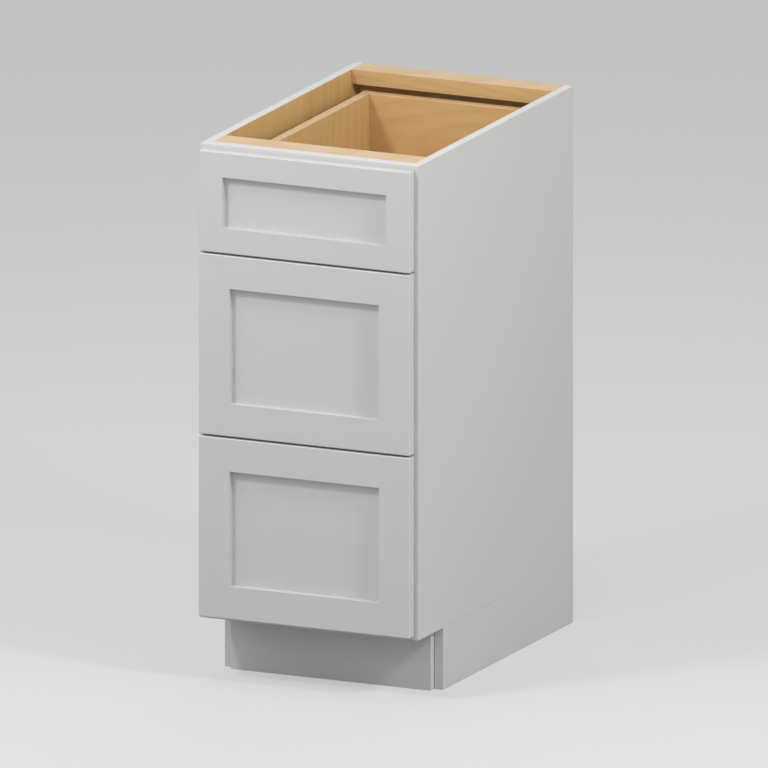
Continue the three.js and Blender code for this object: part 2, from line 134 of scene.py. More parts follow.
class CabinetEdges(bpy.types.PropertyGroup):
    """Radius of the eased edges"""

    paint_radius: length_property("Painted edges", "Edges of painted boards", 0.7)
    front_radius: length_property("Drawer-front edges", "Outer edges of the fronts", 2.0)
    inner_share: level_property("Inner edges", "Share of that radius on inner edges", 0.25)
    board_radius: length_property("Bare edges", "Edges of unpainted carcass boards", 0.4)
    drawer_radius: length_property("Drawer edges", "Edges of the drawer boxes' boards", 0.2)
    steel_radius: length_property("Steel edges", "Edges of the rolled steel", 0.25)
    segments: IntProperty(name="Segments", description="Facets of an edge", default=2, min=1)


class CabinetFasteners(bpy.types.PropertyGroup):
    """Sizes of screws, staples and bumper pads"""

    washer_head: length_property("Washer head", "Width of the drawer-front screws", 10.5)
    washer_head_rise: length_property("Washer head rise", "Height of those heads", 2.4)
    runner_head: length_property("Runner screw head", "Width of the runner screws", 7.6)
    runner_head_rise: length_property("Runner screw rise", "Height of those heads", 1.9)
    front_screw_inset: length_property("Inset", "Drawer-front screws from the box's corner", 58)
    staple_crown: length_property("Staple crown", "Width of a staple's crown", 11)
    staple_wire: length_property("Staple wire", "Thickness of the wire", 1.1)
    staple_pitch: length_property("Staple pitch", "Distance between staples", 72)
    pad_width: length_property("Pad width", "Width of a bumper pad", 9.5)
    pad_inset: length_property("Pad inset", "Pad from the edges of the drawer front", 16)


class CabinetStudio(bpy.types.PropertyGroup):
    """Camera, floor and lamps"""

    azimuth: angle_property("Azimuth", "Camera to the right of the front", 24.603)
    elevation: angle_property("Elevation", "Camera above the horizon", 13.82)
    picture_width: length_property("Picture width", "What the camera takes in", 1218.55)
    aim_height: length_property("Aim height", "Point that the camera looks at", 437.9)
    floor: colour_property("Floor", "Floor as the camera sees it", (150, 150, 149))
    floor_bounce: colour_property("Floor bounce", "Floor as it lights the object", (172, 172, 170))
    floor_evenness: level_property("Floor evenness", "Even tone of the floor in the picture", 0.42)
    room_light: level_property("Room light", "Even light from all round", 0.29)
    room_shine: level_property("Room shine", "Brightness that gloss reflects", 1.0)
    key_power: power_property("Key lamp", "Lamp in front on the left", 30)
    side_power: power_property("Side lamp", "Lamp on the right", 35)
    wash_power: power_property("Side wash", "Broad light on the right side", 20)
    front_power: power_property("Front wash", "Broad light on the front", 13.5)
    left_power: power_property("Left wash", "Broad light from the left", 11)
    back_power: power_property("Back wash", "Broad light on the back", 14)


SETTINGS = {
    "cabinet_finishes": CabinetFinishes,
    "cabinet_edges": CabinetEdges,
    "cabinet_fasteners": CabinetFasteners,
    "cabinet_studio": CabinetStudio,
}


# ------------------------------------------------------------------------ node trees

NODE_STEP = 190
FLOAT, COLOUR, VECTOR = "NodeSocketFloat", "NodeSocketColor", "NodeSocketVector"
MATERIAL, GEOMETRY = "NodeSocketMaterial", "NodeSocketGeometry"
TYPE_OF_DEFAULT = {float: FLOAT, tuple: COLOUR, int: "NodeSocketInt"}
PALE = (0.8, 0.8, 0.8, 1.0)
SURFACE = {"Color": COLOUR, "Roughness": FLOAT, "Height": FLOAT}


class Output:
    """A node's output, to link on or to use in plain sums."""

    def __init__(self, socket):
        self.socket, self.tree = socket, socket.id_data

    def maths(self, operation, *others, clamp=False):
        sockets = dict(enumerate((self, *others)))
        return add(self.tree, "ShaderNodeMath", sockets, operation=operation, use_clamp=clamp)[0]

    def __add__(self, other):
        return self.maths("ADD", other)

    def __sub__(self, other):
        return self.maths("SUBTRACT", other)

    def __mul__(self, other):
        return self.maths("MULTIPLY", other)

    def __truediv__(self, other):
        return self.maths("DIVIDE", other)


class Node:
    """A node, whose outputs are had by name or number."""

    def __init__(self, node):
        self.outputs = node.outputs

    def __getitem__(self, key):
        return Output(self.outputs[key])


def plug(socket, value):
    """Links an output, or a list of them, to a socket, or sets it to a plain value."""
    if isinstance(value, list):
        for part in value:
            plug(socket, part)
    elif isinstance(value, Output):
        value.tree.links.new(value.socket, socket)
    elif socket.type == "RGBA":
        socket.default_value = (*value, 1.0)
    else:
        socket.default_value = value


def add(tree, kind, sockets=None, **settings):
    """A new node with its settings and what its sockets get."""
    node = tree.nodes.new(kind)
    node.location = (NODE_STEP * len(tree.nodes), 0)
    for name, value in settings.items():
        setattr(node, name, value)
    for key, value in (sockets or {}).items():
        plug(node.inputs[key], value)
    return Node(node)


def bare_tree(owner):
    """The emptied node tree of a material or a world."""
    owner.use_nodes = True
    owner.node_tree.nodes.clear()
    return owner.node_tree


def noise(place, scale, detail=2.0, roughness=0.5):
    """Noise at one scale, or at a scale for each axis."""
    if isinstance(scale, tuple):
        place, scale = scaled(place, scale), 1.0
    sockets = {"Vector": place, "Scale": scale, "Detail": detail, "Roughness": roughness}
    return add(place.tree, "ShaderNodeTexNoise", sockets)["Fac"]


def scaled(vector, factors):
    sockets = {0: vector, 1: factors}
    return add(vector.tree, "ShaderNodeVectorMath", sockets, operation="MULTIPLY")[0]


def spread(value, low, high, to_low=0.0, to_high=1.0):
    """The value's range from low to high, stretched to another range and cut off there."""
    sockets = {"Value": value, 1: low, 2: high, 3: to_low, 4: to_high}
    return add(value.tree, "ShaderNodeMapRange", sockets, clamp=True)["Result"]


def blended(factor, first, second):
    sockets = {0: factor, 6: first, 7: second}
    return add(factor.tree, "ShaderNodeMix", sockets, data_type="RGBA")[2]


def new_group(name, kind, inputs, outputs):
    """An empty node group with named sockets, and the node that brings its inputs.

    Each input has a default, whose type is the socket's, or else the socket type itself.
    """
    tree = bpy.data.node_groups.new(name, kind)
    for key, value in inputs.items():
        known = TYPE_OF_DEFAULT.get(type(value))
        socket = tree.interface.new_socket(key, in_out="INPUT", socket_type=known or value)
        if known:
            socket.default_value = value
    for key, socket_type in outputs.items():
        tree.interface.new_socket(key, in_out="OUTPUT", socket_type=socket_type)
    return tree, add(tree, "NodeGroupInput")


def finish_group(tree, values):
    add(tree, "NodeGroupOutput", values)
    return tree


def shared(tree, build, sockets):
    """A shared group in this tree. It is built the first time that a material asks for it."""
    group = bpy.data.node_groups.get(build.__name__) or build(build.__name__)
    return add(tree, "ShaderNodeGroup", sockets, node_tree=group)


def wood_figure(name):
    """Growth rings, fibres and pores of a board whose grain runs along its own Z."""
    tree, given = new_group(name, "ShaderNodeTree", {
        "Vector": VECTOR, "Light": PALE, "Line": PALE, "Ring spacing": 0.012, "Ring tilt": 0.1,
        "Ring strength": 0.5, "Band strength": 0.5, "Fibre strength": 0.3,
    }, SURFACE)
    place = given["Vector"]
    slow = add(tree, "ShaderNodeTexNoise", {
        "Vector": scaled(place, (6.0, 6.0, 1.4)), "Scale": 1.0, "Detail": 1.0,
    })["Color"]
    drift = add(tree, "ShaderNodeVectorMath", {0: slow, 1: (0.5, 0.5, 0.5)}, operation="SUBTRACT")
    waver = scaled(drift[0], (0.06, 0.06, 0.0))
    bent = add(tree, "ShaderNodeVectorMath", {0: place, 1: waver})[0]

    # Rings lie round an axis behind the board that is tilted to the grain, which gives arches.
    parts = add(tree, "ShaderNodeSeparateXYZ", {0: bent})
    deep = parts["Y"] + parts["Z"] * given["Ring tilt"] + 0.06
    across = parts["X"] * 0.55
    radius = (deep * deep + across * across).maths("SQRT")
    phase = (radius / given["Ring spacing"]).maths("FRACT")
    early = spread(phase, 0.0, 0.18, 1.0, 0.0)
    ring = phase.maths("POWER", 2.5).maths("MAXIMUM", early) * given["Ring strength"]

    band = spread(noise(bent, (46.0, 46.0, 1.6), detail=3.0, roughness=0.6), 0.3, 0.7)
    fibres = noise(place, (900.0, 900.0, 14.0), detail=3.0, roughness=0.65)
    fibre = spread(fibres, 0.35, 0.75) * given["Fibre strength"]
    pore = spread(noise(place, (2600.0, 2600.0, 90.0), detail=1.0), 0.68, 0.78)
    tone = ring + band * given["Band strength"] + fibre
    darker = tone.maths("ADD", pore * given["Fibre strength"], clamp=True)
    return finish_group(tree, {
        "Color": blended(darker, given["Light"], given["Line"]),
        "Roughness": spread(tone, 0.0, 1.0, 0.40, 0.50),
        "Height": fibres * 0.6 + ring * 0.3 - pore * 0.5,
    })


def sprayed_coat(name):
    """The fine unevenness of sprayed paint, with a stipple for coarser coats."""
    tree, given = new_group(name, "ShaderNodeTree", {
        "Vector": VECTOR, "Paint": PALE, "Tint change": 0.02, "Stipple": 0.0,
        "Gloss change": 0.05, "Base roughness": 0.4,
    }, SURFACE)
    place = given["Vector"]
    mottle = noise(place, 3.0, detail=3.0) - 0.5
    speck = (noise(place, 620.0, detail=1.0) - 0.5) * given["Stipple"]
    value = mottle * given["Tint change"] + speck + 1.0
    colour = add(tree, "ShaderNodeHueSaturation", {"Value": value, "Color": given["Paint"]})
    peel = noise(place, 260.0, detail=1.0)
    coarse = noise(place, 780.0, roughness=0.7) * given["Stipple"]
    return finish_group(tree, {
        "Color": colour[0],
        "Roughness": mottle * given["Gloss change"] + given["Base roughness"],
        "Height": peel * 0.12 + coarse,
    })


def settled_dust(name):
    """Fine dust on whatever faces up."""
    sockets = {"Color": PALE, "Dust": PALE, "Amount": 0.1}
    tree, given = new_group(name, "ShaderNodeTree", sockets, {"Color": COLOUR})
    normal = add(tree, "ShaderNodeNewGeometry")["Normal"]
    facing = spread(add(tree, "ShaderNodeSeparateXYZ", {0: normal})["Z"], 0.5, 1.0)
    place = object_place(tree)
    cloud = spread(noise(place, 24.0, detail=5.0, roughness=0.65), 0.35, 0.75)
    specks = spread(noise(place, 1400.0, detail=1.0), 0.62, 0.75)
    cover = facing * (cloud + specks)
    mask = cover.maths("MULTIPLY", given["Amount"], clamp=True)
    return finish_group(tree, {"Color": blended(mask, given["Color"], given["Dust"])})


def plated_steel(name):
    """Rolling streaks, a faint spangle and handling marks on plated steel."""
    tree, given = new_group(name, "ShaderNodeTree", {
        "Vector": VECTOR, "Metal": PALE, "Streak": 0.3, "Spangle": 0.2, "Base roughness": 0.3,
    }, SURFACE)
    place = given["Vector"]
    streaks = noise(place, (900.0, 12.0, 900.0), detail=3.0, roughness=0.6)
    cells = add(tree, "ShaderNodeTexVoronoi", {"Vector": place, "Scale": 260.0})
    spangle = add(tree, "ShaderNodeSeparateColor", {0: cells["Color"]})[0]
    marks = spread(noise(place, 60.0, detail=4.0, roughness=0.6), 0.45, 0.7)
    uneven = (streaks - 0.5) * given["Streak"]
    value = uneven + (spangle - 0.5) * given["Spangle"] + 1.0
    colour = add(tree, "ShaderNodeHueSaturation", {"Value": value, "Color": given["Metal"]})
    return finish_group(tree, {
        "Color": colour[0],
        "Roughness": given["Base roughness"] + uneven * 0.4 + marks * 0.12,
        "Height": streaks,
    })


# ------------------------------------------------------------------------ materials

PLY = 1.4 * MM  # thickness of one layer of the plywood


def object_place(tree):
    return add(tree, "ShaderNodeTexCoord")["Object"]


def board_place(tree):
    """Place on the board itself, with the grain along Z, which every board carries."""
    return add(tree, "ShaderNodeAttribute", attribute_name="board")["Vector"]


def finish_material(tree, surface, strength, distance, dust=0.0, others=None):
    """Ends a material in its shader. surface holds its Color, Roughness and Height.

    strength and distance are the bump's, and others are more of the shader's sockets.
    """
    colour = surface["Color"]
    if dust:
        tint = bpy.context.scene.cabinet_finishes.dust
        sockets = {"Color": colour, "Dust": tint, "Amount": dust}
        colour = shared(tree, settled_dust, sockets)["Color"]
    relief = add(tree, "ShaderNodeBump", {
        "Strength": strength, "Distance": distance, "Height": surface["Height"],
    })
    shader = add(tree, "ShaderNodeBsdfPrincipled", {
        "Base Color": colour, "Roughness": surface["Roughness"], "Normal": relief[0],
        **(others or {}),
    })
    add(tree, "ShaderNodeOutputMaterial", {"Surface": shader[0]})


def paint(tree, colour, roughness, stipple, relief):
    coat = shared(tree, sprayed_coat, {
        "Vector": object_place(tree), "Paint": colour, "Stipple": stipple,
        "Base roughness": roughness,
    })
    finish_material(tree, coat, strength=relief, distance=0.4 * MM, dust=0.03)


def wood(tree, light, line, **figure):
    boards = shared(tree, wood_figure, {
        "Vector": board_place(tree), "Light": light, "Line": line,
        **{key.replace("_", " ").capitalize(): value for key, value in figure.items()},
    })
    finish_material(tree, boards, strength=0.18, distance=0.3 * MM, dust=0.05)


def end_grain(tree, colour, line):
    """Birch cut across: rings seen end on, and open pores."""
    place = board_place(tree)
    rings = noise(place, (260.0, 900.0, 60.0), roughness=0.6)
    pores = spread(noise(place, 3200.0, detail=1.0), 0.55, 0.7)
    tone = rings * 0.7 + pores * 0.25
    toned = blended(spread(tone, 0.2, 0.9), colour, line)
    surface = {"Color": toned, "Roughness": 0.72, "Height": tone}
    finish_material(tree, surface, strength=0.3, distance=0.3 * MM)


def ply_edge(tree, light, core):
    """The sawn edge of plywood. The board's own Y runs through its plies."""
    place = board_place(tree)
    through = add(tree, "ShaderNodeSeparateXYZ", {0: place})["Y"]
    depth = through + noise(place, 60.0, detail=3.0) * (0.6 * MM) + 0.1
    plies = spread(depth.maths("PINGPONG", PLY), 0.5 * MM, 0.9 * MM)
    fibres = noise(place, (900.0, 900.0, 60.0), detail=3.0, roughness=0.7)
    tone = plies * 0.6 + fibres * 0.35
    toned = blended(tone, light, core)
    surface = {"Color": toned, "Roughness": 0.75, "Height": tone}
    finish_material(tree, surface, strength=0.35, distance=0.4 * MM)


def steel(tree, colour, roughness, streak, spangle=0.0, dust=0.0):
    plate = shared(tree, plated_steel, {
        "Vector": object_place(tree), "Metal": colour, "Streak": streak, "Spangle": spangle,
        "Base roughness": roughness,
    })
    others = {"Metallic": 1.0}
    finish_material(tree, plate, strength=0.08, distance=0.2 * MM, dust=dust, others=others)


def rubber(tree, colour):
    haze = noise(object_place(tree), 500.0, detail=3.0)
    tint = blended(spread(haze, 0.3, 0.7), colour, (0.62, 0.62, 0.58))
    surface = {"Color": tint, "Roughness": spread(haze, 0.2, 0.8, 0.2, 0.42), "Height": haze}
    others = {"Subsurface Weight": 0.15, "Subsurface Radius": (MM, MM, MM)}
    finish_material(tree, surface, strength=0.1, distance=0.2 * MM, others=others)


def make_material(name):
    colours = bpy.context.scene.cabinet_finishes
    maker, looks = {
        "satin_paint": (paint, dict(
            colour=colours.paint, roughness=0.42, stipple=0.0, relief=0.06,
        )),
        # Painted light: a lighter copy of the satin paint, which offsets the shade under the
        # cabinet.
        "toe_paint_lightened_for_shade": (paint, dict(
            colour=colours.toe_paint_lightened_for_shade, roughness=0.5, stipple=0.7, relief=0.4,
        )),
        "birch_veneer": (wood, dict(
            light=colours.veneer, line=colours.veneer_line, ring_spacing=0.019,
            ring_tilt=0.03, ring_strength=0.35, band_strength=0.55, fibre_strength=0.25,
        )),
        "solid_birch": (wood, dict(
            light=colours.birch, line=colours.birch_line, ring_spacing=0.013,
            ring_tilt=0.12, ring_strength=0.4, band_strength=0.45, fibre_strength=0.25,
        )),
        "birch_end_grain": (end_grain, dict(colour=colours.birch, line=colours.end_grain)),
        "birch_ply_edge": (ply_edge, dict(light=colours.veneer, core=colours.ply_core)),
        "zinc_steel": (steel, dict(
            colour=colours.zinc, roughness=0.34, streak=0.1, spangle=0.1, dust=0.06,
        )),
        "screw_steel": (steel, dict(colour=colours.screw, roughness=0.28, streak=0.05)),
        "staple_steel": (steel, dict(colour=colours.staple, roughness=0.3, streak=0.05)),
        "clear_rubber": (rubber, dict(colour=colours.rubber)),
    }[name]
    made = bpy.data.materials.new(name)
    maker(bare_tree(made), **looks)
    return made


def material(name):
    """The material of that name, made the first time that a piece asks for it."""
    return bpy.data.materials.get(name) or make_material(name)


# ------------------------------------------------------------------------ boards

MERGE_DISTANCE = 1e-6
ON_PLANE = 2e-5
FLAT_ANGLE = math.radians(0.2)
EDGE_ANGLE = math.radians(40)
CREASE_ANGLE = math.radians(55)
FACING = 0.7  # a face whose normal has this much of an axis faces that way
LOG_WIDTH, LOG_LENGTH = 0.05, 0.9  # how far from the log's middle boards are cut
SCATTER = Vector((91, 37, 53))  # uneven, so that no two boards come from one place
AXES = {"x": 0, "y": 1, "z": 2}


def on_plane(points, plane):
    axis, value = plane
    return all(abs(point[AXES[axis]] - value) < ON_PLANE for point in points)


def new_object(name, data):
    made = bpy.data.objects.new(name, data)
    bpy.context.scene.collection.objects.link(made)
    return made


def merged_copy(node, reach):
    """The node's own solid, its triangles joined into whole faces.

    Each plane in reach moves by its distance, which closes a glued joint's hairline gap.
    """
    solid = bmesh.new()
    solid.from_mesh(frame["nodes"][node].data)
    bmesh.ops.remove_doubles(solid, verts=solid.verts, dist=MERGE_DISTANCE)
    bmesh.ops.dissolve_limit(solid, angle_limit=FLAT_ANGLE, verts=solid.verts, edges=solid.edges)
    for (axis, value), distance in reach.items():
        for vertex in solid.verts:
            if on_plane([vertex.co], (axis, value)):
                vertex.co[AXES[axis]] += distance
    solid.normal_update()
    return solid


def split_at(solid, cuts):
    """Parts flat faces at planes through their openings, so that none runs round an opening."""
    for axis, value in cuts:
        point, normal = Vector(), Vector()
        point[AXES[axis]], normal[AXES[axis]] = value, 1
        bmesh.ops.bisect_plane(
            solid, geom=[*solid.verts, *solid.edges, *solid.faces], dist=MERGE_DISTANCE,
            plane_co=point, plane_no=normal,
        )
    needless = [
        edge for edge in solid.edges
        if len(edge.link_faces) == 2 and edge.calc_face_angle() < FLAT_ANGLE
        and not any(on_plane([v.co for v in edge.verts], cut) for cut in cuts)
    ]
    bmesh.ops.dissolve_edges(solid, edges=needless, use_verts=False)


def weigh_edges(solid, tight):
    """Full bevel weight on real edges, none on those that lie in a tight joint's plane."""
    weights = solid.edges.layers.float.new("bevel_weight_edge")
    for edge in solid.edges:
        corner = len(edge.link_faces) == 2 and edge.calc_face_angle() > EDGE_ANGLE
        joint = any(on_plane([v.co for v in edge.verts], plane) for plane in tight)
        edge[weights] = 1.0 if corner and not joint else 0.0


def carry_grain(mesh, lowest, highest, grain, through):
    """Gives each point its place on the board: X across, Y through the board, Z along."""
    along, deep = AXES[grain], AXES[through]
    across = 3 - along - deep
    middle = (lowest + highest) / 2
    # Each board is cut from another part of the log, told by where it lies.
    aside = LOG_WIDTH * math.sin(SCATTER.x * middle.x + SCATTER.y * middle.y)
    up = LOG_LENGTH * math.sin(SCATTER.z * middle.z)
    attribute = mesh.attributes.new("board", "FLOAT_VECTOR", "POINT")
    for vertex, place in zip(mesh.vertices, attribute.data):
        local = vertex.co - middle
        place.vector = (local[across] + aside, local[deep], local[along] + up)


def finish_board(node, slot, radius, surface, grain="z", through="y", rule=None, tight=(),
                 reach=None, cuts=()):
    """Stands for a node: the same solid with eased edges, grain and chosen surfaces.

    surface is the main material, and rule(normal, centre) may name another for a face.
    """
    solid = merged_copy(node, reach or {})
    if cuts:
        split_at(solid, cuts)
    weigh_edges(solid, tight)
    names = [surface]
    for face in solid.faces:
        name = rule(face.normal, face.calc_center_median()) if rule else None
        if name and name not in names:
            names.append(name)
        face.material_index = names.index(name or surface)
    mesh = bpy.data.meshes.new(f"{node}_finished")
    solid.to_mesh(mesh)
    solid.free()
    for name in names:
        mesh.materials.append(material(name))
    carry_grain(mesh, *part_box(node), grain, through)
    piece = new_object(mesh.name, mesh)
    ease_edges(piece, radius)
    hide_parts(node)
    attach(piece, BODY_OF[node])


def ease_edges(piece, radius):
    """Rounds the edges that carry a bevel weight, and keeps the wide faces level."""
    ease = piece.modifiers.new("Eased edges", "BEVEL")
    ease.limit_method = "WEIGHT"
    ease.width = radius
    ease.segments = bpy.context.scene.cabinet_edges.segments
    ease.use_clamp_overlap = False
    ease.miter_outer = "MITER_ARC"
    graph = bpy.context.evaluated_depsgraph_get()
    eased = bpy.data.meshes.new_from_object(
        piece.evaluated_get(graph), preserve_all_data_layers=True, depsgraph=graph,
    )
    eased.name = piece.data.name
    piece.modifiers.remove(ease)
    piece.data = eased
    level_faces(eased)


def level_faces(mesh):
    """Shades wide faces dead flat and lets the narrow facets between them run into them.

    A corner's normal is that of the faces around its point, by area, up to a crease.
    """
    mesh.shade_smooth()
    around = [[] for _ in mesh.vertices]
    for face in mesh.polygons:
        for index in face.vertices:
            around[index].append(face)
    crease = math.cos(CREASE_ANGLE)
    normals = []
    for face in mesh.polygons:
        for index in face.vertices:
            near = (f for f in around[index] if f.normal.dot(face.normal) > crease)
            normals.append(sum((f.area * f.normal for f in near), Vector()).normalized())
    mesh.normals_split_custom_set(normals)


def painted(node, radius, surface="satin_paint", **others):
    finish_board(node, "paint", radius, surface, **others)


def plywood(node, radius, grain, through, **others):
    """A veneered board, with its plies on the sawn edges."""
    def rule(normal, centre):
        return None if abs(normal[AXES[through]]) > FACING else "birch_ply_edge"
    finish_board(node, "plywood", radius, "birch_veneer", grain, through, rule, **others)


def hardwood(node, radius, grain, through, ends="x"):
    """A board of solid birch, with end grain on the faces across the axis that ends names."""
    def rule(normal, centre):
        return "birch_end_grain" if abs(normal[AXES[ends]]) > FACING else None
    finish_board(node, "hardwood", radius, "solid_birch", grain, through, rule)


def side_panel_rule(hand):
    """Paint on the outer face and the top edge, veneer inside, plies on the other edges."""
    outwards = -1 if hand == "left" else 1

    def rule(normal, centre):
        if normal.x * outwards > FACING or normal.z > FACING and centre.z > SIDE_TOP - MM:
            return None
        return "birch_veneer" if abs(normal.x) > FACING else "birch_ply_edge"
    return rule


INNER_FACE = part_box("side_panel_right")[0].x
BACK_SETBACK = 0.4 * MM  # room behind the back panel for its staples
SIDE_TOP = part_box("side_panel_left")[1].z
SIDE_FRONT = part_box("side_panel_left")[0].y
SIDE_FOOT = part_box("side_panel_left")[0].z
FRAME_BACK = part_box("face_frame")[1].y
JOINT = SIDE_FRONT - FRAME_BACK  # the glued joint's hairline gap


class CABINET_OT_carcass(bpy.types.Operator):
    """Side panels, bottom, back and the two stretchers"""

    bl_idname = "cabinet.carcass"
    bl_label = "Carcass"

    def execute(self, context):
        edges = context.scene.cabinet_edges
        for hand in HANDS:
            painted(
                f"side_panel_{hand}", edges.paint_radius, through="x",
                rule=side_panel_rule(hand), tight=[("y", SIDE_FRONT), ("z", SIDE_FOOT)],
            )
        plywood("bottom_panel", edges.board_radius, "y", "z")
        setback = {("y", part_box("back_panel")[1].y): -BACK_SETBACK}
        plywood("back_panel", edges.board_radius, "z", "y", reach=setback)
        for node in ("front_stretcher", "rear_stretcher"):
            hardwood(node, edges.board_radius, "x", "z")
        return {"FINISHED"}


class CABINET_OT_plinth(bpy.types.Operator):
    """Plinth sides and rails, and the toe-kick board"""

    bl_idname = "cabinet.plinth"
    bl_label = "Plinth"

    def execute(self, context):
        radius = context.scene.cabinet_edges.board_radius
        for hand in HANDS:
            painted(f"plinth_side_{hand}", radius)
        # The toe-kick board takes the lighter copy of the paint, a painted lift against the shade
        # under the cabinet.
        painted("toe_kick_board", radius, "toe_paint_lightened_for_shade")
        for node in ("plinth_front_rail", "plinth_rear_rail"):
            plywood(node, radius, "x", "y")
        return {"FINISHED"}


class CABINET_OT_face_frame(bpy.types.Operator):
    """The painted face frame"""

    bl_idname = "cabinet.face_frame"
    bl_label = "Face frame"

    def execute(self, context):
        closing = 0.8 * JOINT
        painted(
            "face_frame", context.scene.cabinet_edges.paint_radius,
            tight=[("y", FRAME_BACK + closing)], reach={("y", FRAME_BACK): closing},
            cuts=[("x", 0)],
        )
        return {"FINISHED"}


class CABINET_OT_drawer_fronts(bpy.types.Operator):
    """Frame and panel of each drawer front, the frame glued up and sanded flush"""

    bl_idname = "cabinet.drawer_fronts"
    bl_label = "Drawer fronts"

    def execute(self, context):
        edges = context.scene.cabinet_edges
        tree = framed_front_tree()
        for drawer in DRAWERS:
            name = f"{drawer}_drawer_front"
            members = [f"{name}_{part}" for part in FRONT_MEMBERS]
            lowest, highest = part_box(members[0])
            frame_piece = grow(f"{name}_frame", tree, None, "satin_paint", {
                "Width": -2 * lowest.x,
                "Height": highest.z - lowest.z,
                "Thickness": highest.y - lowest.y,
                "Member width": highest.x - lowest.x,
                "Inner ease": edges.inner_share,
                "Place": (0, highest.y, (lowest.z + highest.z) / 2),
            })
            solid = bmesh.new()
            solid.from_mesh(frame_piece.data)
            split_at(solid, [("x", 0)])
            solid.to_mesh(frame_piece.data)
            solid.free()
            ease_edges(frame_piece, edges.front_radius)
            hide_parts(*members)
            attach(frame_piece, BODY_OF[members[0]])
            painted(f"{name}_panel", edges.board_radius)
        return {"FINISHED"}


class CABINET_OT_drawer_boxes(bpy.types.Operator):
    """Dovetailed boards and plywood bottom of each drawer box"""

    bl_idname = "cabinet.drawer_boxes"
    bl_label = "Drawer boxes"

    def execute(self, context):
        radius = context.scene.cabinet_edges.drawer_radius
        for drawer in DRAWERS:
            name = f"{drawer}_drawer_box"
            for end in ("front", "back"):
                hardwood(f"{name}_{end}", radius, "x", "y")
            for hand in HANDS:
                # The figure of these boards stands upright, as the photo shows.
                hardwood(f"{name}_side_{hand}", radius, "z", "x", ends="y")
            plywood(f"{name}_bottom", radius, "x", "z")
        return {"FINISHED"}


class CABINET_OT_runners(bpy.types.Operator):
    """The three members of each runner"""

    bl_idname = "cabinet.runners"
    bl_label = "Runners"

    def execute(self, context):
        radius = context.scene.cabinet_edges.steel_radius
        for drawer in DRAWERS:
            for member in ("cabinet_member", "beam", "drawer_member"):
                for hand in HANDS:
                    node = f"{drawer}_runner_{member}_{hand}"
                    holes = ("z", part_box(node)[0].z + RUNNER_SCREW.z)
                    finish_board(
                        node, "zinc_steel", radius, "zinc_steel",
                        cuts=[holes] if member == "cabinet_member" else (),
                    )
        return {"FINISHED"}


# ------------------------------------------------------------------------ repeated pieces

UPRIGHT = (math.radians(90), 0, 0)


def geometry_group(name, inputs):
    """An empty Geometry Nodes tree that takes points, named sizes and a finish."""
    inputs = {"Geometry": GEOMETRY, **inputs, "Finish": MATERIAL}
    return new_group(name, "GeometryNodeTree", inputs, {"Geometry": GEOMETRY})


def end_in_finish(given, geometry):
    """Every tree ends in real geometry with its finish."""
    tree = geometry.tree
    real = add(tree, "GeometryNodeRealizeInstances", {0: geometry})
    finish = {"Geometry": real[0], "Material": given["Finish"]}
    return finish_group(tree, {"Geometry": add(tree, "GeometryNodeSetMaterial", finish)[0]})


def joined(*parts):
    return add(parts[0].tree, "GeometryNodeJoinGeometry", {0: list(parts)})[0]


def rectangle(width, height):
    sockets = {"Width": width, "Height": height}
    return add(width.tree, "GeometryNodeCurvePrimitiveQuadrilateral", sockets)[0]


def cube(x, y, z):
    return add(z.tree, "GeometryNodeMeshCube", {"Size": vector_of(x, y, z)})["Mesh"]


def vector_of(x, y, z):
    return add(z.tree, "ShaderNodeCombineXYZ", {0: x, 1: y, 2: z})[0]


def moved(geometry, translation, rotation=(0, 0, 0)):
    return add(geometry.tree, "GeometryNodeTransform", {
        "Geometry": geometry, "Translation": translation, "Rotation": rotation,
    })[0]


def chance(seed):
    """A random value between 0 and 1 for each point."""
    return add(seed.tree, "FunctionNodeRandomValue", {"Seed": seed}, data_type="FLOAT")[1]


def spun(rotation, angle, space):
    """The rotation with a further turn about Z."""
    spin = add(angle.tree, "FunctionNodeAxisAngleToRotation", {"Axis": (0, 0, 1), "Angle": angle})
    sockets = {"Rotation": rotation, "Rotate By": spin[0]}
    return add(angle.tree, "FunctionNodeRotateRotation", sockets, rotation_space=space)[0]


def placed(points, part, rotation):
    return add(part.tree, "GeometryNodeInstanceOnPoints", {
        "Points": points, "Instance": part, "Rotation": rotation,
    })["Instances"]


def framed_front_tree():
    """Two stiles and two rails as one flush frame, standing with its back on Place's Y."""
    tree, given = geometry_group("Framed drawer front", {
        "Width": 0.37, "Height": 0.3, "Thickness": 0.019, "Member width": 0.054,
        "Inner ease": 0.4, "Place": VECTOR,
    })
    width, height, member = given["Width"], given["Height"], given["Member width"]
    both = member * 2.0
    outlines = joined(rectangle(width, height), rectangle(width - both, height - both))
    face = add(tree, "GeometryNodeFillCurve", {0: outlines}, mode="NGONS")[0]
    drawn = add(tree, "GeometryNodeExtrudeMesh", {
        "Mesh": face, "Offset Scale": given["Thickness"], "Individual": False,
    })
    back = add(tree, "GeometryNodeFlipFaces", {0: face})
    closed = add(tree, "GeometryNodeMergeByDistance", {
        0: joined(drawn[0], back[0]), "Distance": MERGE_DISTANCE,
    })

    # Real edges are eased in full, those round the panel in part.
    angle = add(tree, "GeometryNodeInputMeshEdgeAngle")["Unsigned Angle"]
    position = add(tree, "GeometryNodeInputPosition")[0]
    place = add(tree, "ShaderNodeSeparateXYZ", {0: position})
    beside, level = (
        place[axis].maths("ABSOLUTE").maths("LESS_THAN", (side - member) * 0.5)
        for axis, side in (("X", width), ("Y", height))
    )
    share = spread(beside * level, 0.0, 1.0, 1.0, given["Inner ease"])
    weighed = add(tree, "GeometryNodeStoreNamedAttribute", {
        "Geometry": closed[0], "Name": "bevel_weight_edge",
        "Value": angle.maths("GREATER_THAN", EDGE_ANGLE) * share,
    }, data_type="FLOAT", domain="EDGE")
    return end_in_finish(given, moved(weighed[0], given["Place"], UPRIGHT))


